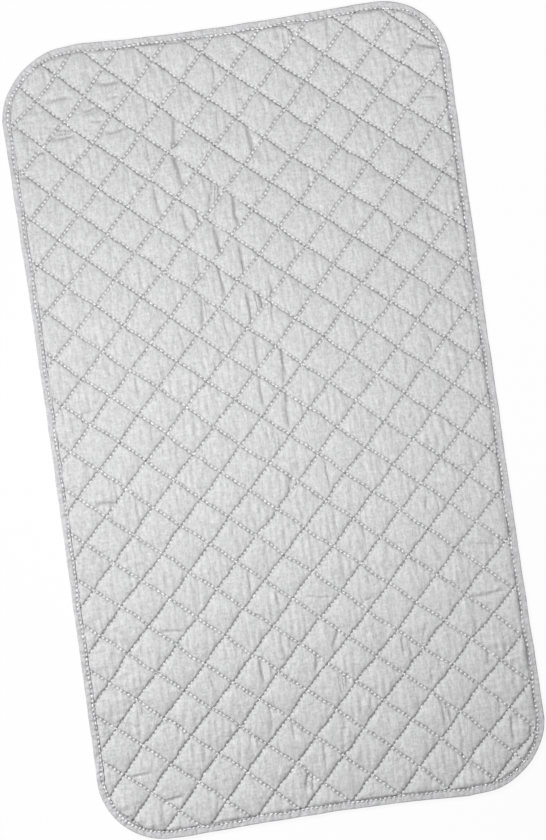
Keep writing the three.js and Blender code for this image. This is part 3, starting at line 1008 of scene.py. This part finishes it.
class IRONINGPAD_OT_binding(bpy.types.Operator):
    """Fold the binding tape round the raw edge"""

    bl_idname = "ironing_pad.binding"
    bl_label = "Binding tape"

    def execute(self, context):
        pad, finish = settings("pad"), settings("finish")
        place, outward, walked = outline_stations(TAPE_STATION)
        insets, heights, puckers = self.section()
        plan = place[:, None] - outward[:, None] * insets[:, None]
        from_seam = insets - tape_seam_line(place)
        lattice = Lattice()
        across = (plan @ lattice.across.T - lattice.offsets) / lattice.pitch
        gaps = np.minimum(*lattice.seam_distances(across[..., 0], across[..., 1]))
        waver_size, waver_length, most_out, most_in = 0.0005, 0.03, -0.4, 2.0
        waver = waver_size * np.clip(self.uneven(walked, waver_length, 31), most_out, most_in)
        waver = waver * np.clip(insets / pad.tape_reach, 0, 1) ** 4
        plan = plan - outward[:, None] * waver[..., None]
        height = heights + puckers * self.lift(walked, np.abs(from_seam), gaps)
        x, y = lie(plan[..., 0], plan[..., 1])
        points = np.stack([x, y, height], -1)
        count, width = points.shape[:2]
        index = np.arange(count * width).reshape(count, width)
        after = np.roll(index, -1, 0)
        faces = np.stack([index, after, np.roll(after, -1, 1), np.roll(index, -1, 1)], -1).reshape(-1, 4)
        mesh = bpy.data.meshes.new("binding")
        mesh.from_pydata(points.reshape(-1, 3), [], faces)
        mesh.polygons.foreach_set("use_smooth", np.ones(len(faces), bool))
        around = walked[1] * count
        stitch = around / round(around / settings("quilting").stitch)
        stitches = np.broadcast_to(walked[:, None] / stitch, gaps.shape)
        map_points(mesh, "seams", from_seam.ravel(), stitches.ravel())
        mesh.materials.append(cloth_material("Silver-grey tape", finish.tape, 0.0005, tape_row))
        binding = new_piece("binding", mesh)
        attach(binding, "root")
        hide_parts("edge_binding")
        return {"FINISHED"}

    def lift(self, walked, from_seam, from_quilting):
        """How the tape puckers and waves, and dips at its own seam and where quilting seams cross it."""
        pucker_size, pucker_length, pucker_most, pucker_decay = 0.0006, 0.0065, 1.3, 0.006
        wave_size, wave_length, most = 0.00015, 0.045, 0.0007
        sewn_depth, sewn_width, crossed_depth, crossed_width = 0.0005, 0.0010, 0.0004, 0.0012
        pucker = np.clip(self.uneven(walked / pucker_length, 1, 32, 24), -pucker_most, pucker_most)
        pucker = pucker * np.exp(-from_seam / pucker_decay)
        wave = self.uneven(walked, wave_length, 33)
        sewn_in = sewn_depth * np.exp(-((from_seam / sewn_width) ** 2))
        crossed = crossed_depth * np.exp(-((from_quilting / crossed_width) ** 2))
        height = pucker_size * pucker + wave_size * wave - (sewn_in + crossed)
        return np.clip(height, -most, most)

    def uneven(self, walked, wavelength, seed, count=9):
        """Noise along the tape, the same all over its width."""
        return ripple(walked, 0 * walked, wavelength, seed, count)[:, None]

    def section(self):
        """The tape's section, from its lower inner edge round the fold: insets, heights, where it puckers."""
        pad = settings("pad")
        top, reach, ply = pad.tape_height, pad.tape_reach, pad.tape_thickness
        fold_depth, fold_end, groove_half, groove_depth = 0.0008, 75, 0.0007, 0.0004
        leg = np.array([1, 0.97, 0.93, 0.88, 0.83, 0.77, 0.70, 0.60, 0.46, 0.32, 0.23, 0.17]) * reach
        turn = np.radians(np.linspace(-fold_end, fold_end, 9))
        fold = fold_depth - fold_depth * np.cos(turn), top / 2 + top / 2 * np.sin(turn)
        inner = np.array([1, 0.6, 0.28]) * reach
        under = np.where(np.abs(leg - pad.tape_seam) < groove_half, groove_depth, 0)
        insets = np.concatenate([leg, fold[0], leg[::-1], inner, inner[::-1]])
        heights = np.concatenate([under, fold[1], 0 * leg + top, 0 * inner + top - ply, 0 * inner + ply])
        puckers = np.concatenate([0 * leg, 0 * turn, 0 * leg + 1, 0 * inner, 0 * inner])
        return insets, heights, puckers


class IRONINGPAD_OT_quilting(bpy.types.Operator):
    """Sew the quilting stitches on the face and on the backing"""

    bl_idname = "ironing_pad.quilting"
    bl_label = "Quilting stitches"

    def execute(self, context):
        pad = settings("pad")
        lattice = Lattice()
        thread = thread_material("Quilting thread", settings("finish").thread)
        for family, letter in enumerate("ab"):
            plan, along = seam_stitches(lattice, family)
            along = in_space(along, 0)
            nodes = [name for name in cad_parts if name.startswith("quilting_thread_" + letter)]
            top = in_space(plan, pad.seam_level + THREAD_GAP)
            row = sew_stitches("quilting_stitches_" + letter, top, along, thread, FACE_STITCH, family)
            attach(row, "root")
            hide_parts(*nodes)
            under = in_space(plan, pad.backing_seam - UNDER_THREAD)
            row = sew_stitches("bobbin_stitches_" + letter, under, along, thread, BOBBIN_STITCH, 2 + family)
            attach(row, "root")
        return {"FINISHED"}


class IRONINGPAD_OT_binding_stitches(bpy.types.Operator):
    """Sew the binding down on both sides"""

    bl_idname = "ironing_pad.binding_stitches"
    bl_label = "Binding stitches"

    def execute(self, context):
        pad = settings("pad")
        place, outward, walked = outline_stations(settings("quilting").stitch)
        plan = place - outward * tape_seam_line(place)
        plan = (plan + np.roll(plan, -1, 0)) / 2
        plan = np.stack(lie(plan[:, 0], plan[:, 1]), -1)
        along = in_space(np.roll(plan, -1, 0) - np.roll(plan, 1, 0), 0)
        thread = thread_material("Binding thread", settings("finish").thread)
        for name, node, height, kind, seed in (
            ("binding_stitches_top", "binding_needle_thread", pad.tape_height, TAPE_TOP_STITCH, 8),
            ("binding_stitches_under", "binding_bobbin_thread", UNDER_THREAD, TAPE_UNDER_STITCH, 9),
        ):
            row = sew_stitches(name, in_space(plan, height), along, thread, kind, seed)
            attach(row, "root")
            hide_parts(node)
        return {"FINISHED"}


class IRONINGPAD_OT_stage(bpy.types.Operator):
    """Set the floor, the light and the camera"""

    bl_idname = "ironing_pad.stage"
    bl_label = "Stage"

    def execute(self, context):
        scene, stage = context.scene, settings("stage")
        scene.view_settings.view_transform = "Standard"
        mesh = bpy.data.meshes.new("floor")
        corners = [(x * FLOOR_HALF, y * FLOOR_HALF) for x, y in ((-1, -1), (1, -1), (1, 1), (-1, 1))]
        mesh.from_pydata([(x, y, FLOOR_LEVEL) for x, y in corners], [], [(0, 1, 2, 3)])
        mesh.materials.append(self.floor_material())
        new_piece("floor", mesh)
        self.hang_lamp(scene, "Far lamp", stage.far_key, stage.far_aim, stage.far_power)
        self.hang_lamp(scene, "Near lamp", stage.near_key, stage.near_aim, stage.near_power)
        self.light_room(scene)
        camera = bpy.data.objects.new("Camera", bpy.data.cameras.new("Camera"))
        camera.data.lens = stage.lens
        camera.data.clip_end = 100
        camera.location = (stage.aside, 0, stage.field * stage.lens / camera.data.sensor_width)
        camera.rotation_euler = (0, 0, stage.turn)
        scene.collection.objects.link(camera)
        scene.camera = camera
        return {"FINISHED"}

    def hang_lamp(self, scene, name, place, aim, power):
        stage = settings("stage")
        data = bpy.data.lights.new(name, "SPOT")
        data.energy = power
        data.spot_size = stage.beam
        data.spot_blend = 1
        data.shadow_soft_size = stage.lamp_size
        lamp = bpy.data.objects.new(name, data)
        lamp.location = place
        lamp.rotation_euler = (Vector(aim) - Vector(place)).to_track_quat("-Z", "Y").to_euler()
        lamp.visible_camera = False
        scene.collection.objects.link(lamp)

    def seen(self, nodes):
        """One on rays that show the background, straight or mirrored."""
        path = nodes.tree.nodes.new("ShaderNodeLightPath").outputs
        mirrored = nodes.math("MAXIMUM", path["Is Glossy Ray"], path["Is Transmission Ray"])
        return nodes.math("MAXIMUM", path["Is Camera Ray"], mirrored)

    def floor_material(self):
        material, nodes, shader = new_material("Pale floor")
        shader.inputs["Base Color"].default_value = (0.85, 0.85, 0.85, 1)
        shader.inputs["Roughness"].default_value = 0.9
        white = nodes.add("ShaderNodeEmission", (1, 1, 1, 1), 1.0).outputs[0]
        pale = nodes.add("ShaderNodeMixShader", 0.92, shader.outputs[0], white).outputs[0]
        mixed = nodes.add("ShaderNodeMixShader", self.seen(nodes), shader.outputs[0], pale).outputs[0]
        nodes.feed(material.node_tree.nodes["Material Output"].inputs["Surface"], mixed)
        return material

    def light_room(self, scene):
        stage = settings("stage")
        world = bpy.data.worlds.new("Room")
        scene.world = world
        world.use_nodes = True
        nodes = Nodes(world.node_tree)
        background = world.node_tree.nodes["Background"]
        background.inputs["Color"].default_value = (1, 1, 1, 1)
        strength = nodes.add("ShaderNodeMapRange", self.seen(nodes), 0.0, 1.0, stage.fill, 1.0).outputs[0]
        nodes.feed(background.inputs["Strength"], strength)


class IRONINGPAD_PT_panel(bpy.types.Panel):
    """Lists what the pad is made of"""

    bl_idname = "IRONINGPAD_PT_panel"
    bl_label = "Ironing pad"
    bl_space_type = "VIEW_3D"
    bl_region_type = "UI"
    bl_category = "Ironing pad"

    def draw(self, context):
        for operator in OPERATORS:
            self.layout.operator(operator.bl_idname)
        for name, group in SETTINGS.items():
            box = self.layout.box()
            box.label(text=name.capitalize())
            for field in group.__annotations__:
                box.prop(settings(name), field)


OPERATORS = (
    IRONINGPAD_OT_stage,
    IRONINGPAD_OT_face,
    IRONINGPAD_OT_backing,
    IRONINGPAD_OT_binding,
    IRONINGPAD_OT_quilting,
    IRONINGPAD_OT_binding_stitches,
)
CLASSES = (*SETTINGS.values(), *OPERATORS, IRONINGPAD_PT_panel)


def register():
    for item in CLASSES:
        bpy.utils.register_class(item)
    for name, group in SETTINGS.items():
        setattr(bpy.types.Scene, "ironing_" + name, PointerProperty(type=group))


def unregister():
    for name in SETTINGS:
        delattr(bpy.types.Scene, "ironing_" + name)
    for item in reversed(CLASSES):
        bpy.utils.unregister_class(item)


def main():
    register()
    bpy.ops.ironing_pad.stage()
    bpy.ops.ironing_pad.face()
    bpy.ops.ironing_pad.backing()
    bpy.ops.ironing_pad.binding()
    bpy.ops.ironing_pad.quilting()
    bpy.ops.ironing_pad.binding_stitches()


if __name__ == "__main__":
    main()
